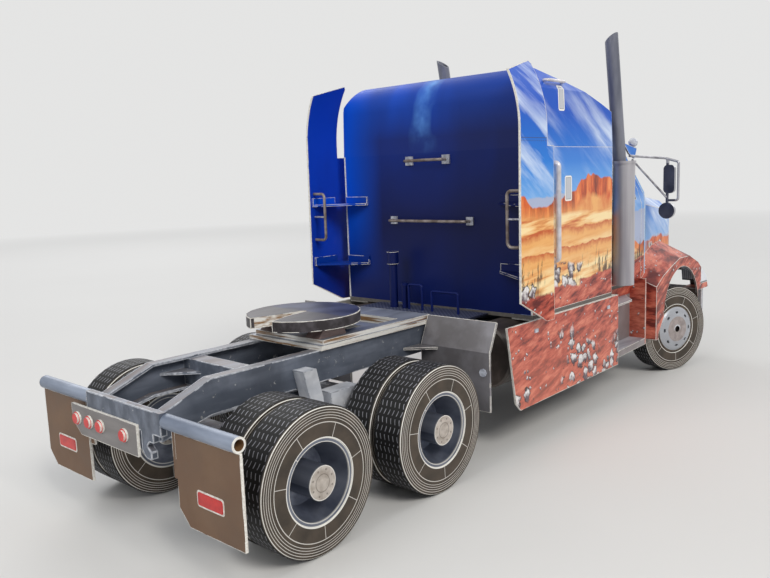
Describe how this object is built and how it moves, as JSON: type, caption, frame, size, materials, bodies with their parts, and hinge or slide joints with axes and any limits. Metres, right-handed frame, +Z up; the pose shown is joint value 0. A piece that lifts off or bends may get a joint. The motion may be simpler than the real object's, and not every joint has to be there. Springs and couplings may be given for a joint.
{
  "type": "card scale model of a sleeper tractor truck",
  "caption": "Card scale model of a conventional sleeper tractor unit with printed desert sides, steering front wheels, twin rear wheels and a coupling plate.",
  "frame": {"origin": "on the floor under the middle of the truck's length and width", "axes": "+X forward along the truck, +Y to its left, +Z up"},
  "size_m": [0.325, 0.1112, 0.1594],
  "materials": {
    "mural_card": "satin",
    "blue_card": "satin",
    "frame_card": "satin",
    "grey_card": "matte",
    "silver_card": "satin",
    "dark_card": "matte",
    "tyre_card": "matte",
    "interior_card": "matte",
    "painted_wire": "satin",
    "clear_film": "gloss",
    "red_lamp": "gloss",
    "clear_lamp": "gloss"
  },
  "bodies": {
    "truck": {"frame_rails": "frame_card", "frame_crossmembers": "frame_card", "rear_crossbeam": "frame_card", "mudflap_hangers": "frame_card", "mudflaps": "grey_card", "lamp_panel": "grey_card", "tail_lamps": "red_lamp", "fifth_wheel_base": "silver_card", "fifth_wheel_pedestal": "grey_card", "fifth_wheel_plate": "dark_card", "catwalk": "dark_card", "quarter_fenders": "grey_card", "drive_axles": "frame_card", "bogie_beams": "frame_card", "front_axle": "frame_card", "front_springs": "frame_card", "fuel_tanks": "dark_card", "tank_brackets": "frame_card", "side_skirts": "mural_card", "step_boxes": "silver_card", "sleeper_roof": "mural_card", "sleeper_sides": "mural_card", "sleeper_rear_wall": "blue_card", "sleeper_front_wall": "blue_card", "side_extenders": "mural_card", "extender_brackets": "blue_card", "grab_rails": "painted_wire", "sun_visor": "blue_card", "marker_lamps": "clear_lamp", "air_line_posts": "blue_card", "cab_roof": "mural_card", "cab_sides": "mural_card", "windscreen_frame": "mural_card", "cab_doors": "mural_card", "glazing": "clear_film", "cab_floor": "interior_card", "seats": "interior_card", "dashboard": "interior_card", "hood": "mural_card", "fenders": "mural_card", "headlamps": "clear_lamp", "bumper": "silver_card", "grille": "silver_card", "exhaust_stacks": "silver_card", "mirrors": "silver_card"},
    "duals_rear_left": {"tyres_rear_left": "tyre_card", "hub_rear_left": "silver_card"},
    "duals_middle_left": {"tyres_middle_left": "tyre_card", "hub_middle_left": "silver_card"},
    "front_wheel_left": {"tyre_front_left": "tyre_card", "hub_front_left": "silver_card"},
    "steering_left": {"knuckle_left": "frame_card"},
    "duals_rear_right": {"tyres_rear_right": "tyre_card", "hub_rear_right": "silver_card"},
    "duals_middle_right": {"tyres_middle_right": "tyre_card", "hub_middle_right": "silver_card"},
    "front_wheel_right": {"tyre_front_right": "tyre_card", "hub_front_right": "silver_card"},
    "steering_right": {"knuckle_right": "frame_card"},
    "tie_rod": {"tie_rod": "frame_card"}
  },
  "joints": [
    {"name": "spin_rear_left", "type": "hinge", "parent": "truck", "child": "duals_rear_left", "pos_m": [-0.1305, 0.0373, 0.0213], "axis": [0, 1, 0], "continuous": true},
    {"name": "spin_middle_left", "type": "hinge", "parent": "truck", "child": "duals_middle_left", "pos_m": [-0.0765, 0.0373, 0.0213], "axis": [0, 1, 0], "continuous": true},
    {"name": "spin_rear_right", "type": "hinge", "parent": "truck", "child": "duals_rear_right", "pos_m": [-0.1305, -0.0373, 0.0213], "axis": [0, 1, 0], "continuous": true},
    {"name": "spin_middle_right", "type": "hinge", "parent": "truck", "child": "duals_middle_right", "pos_m": [-0.0765, -0.0373, 0.0213], "axis": [0, 1, 0], "continuous": true},
    {"name": "steer_right", "type": "hinge", "parent": "truck", "child": "steering_right", "pos_m": [0.1215, -0.0366, 0.0213], "axis": [0, 0, 1], "range_deg": [-8, 48]},
    {"name": "spin_front_right", "type": "hinge", "parent": "steering_right", "child": "front_wheel_right", "pos_m": [0.11907, -0.04327, 0.0213], "axis": [0.342, 0.9397, 0], "continuous": true},
    {"name": "steer_left", "type": "hinge", "parent": "truck", "child": "steering_left", "pos_m": [0.1215, 0.0366, 0.0213], "axis": [0, 0, 1], "range_deg": [-8, 48]},
    {"name": "spin_front_left", "type": "hinge", "parent": "steering_left", "child": "front_wheel_left", "pos_m": [0.12393, 0.04327, 0.0213], "axis": [0.342, 0.9397, 0], "continuous": true},
    {"name": "tie_rod_swing", "type": "hinge", "parent": "steering_right", "child": "tie_rod", "pos_m": [0.11304, -0.03352, 0.016], "axis": [0, 0, 1], "range_deg": [-48, 8]}
  ],
  "couplings": [
    {"joint": "steer_left", "follows": "steer_right", "ratio": 1},
    {"joint": "tie_rod_swing", "follows": "steer_right", "ratio": -1}
  ]
}
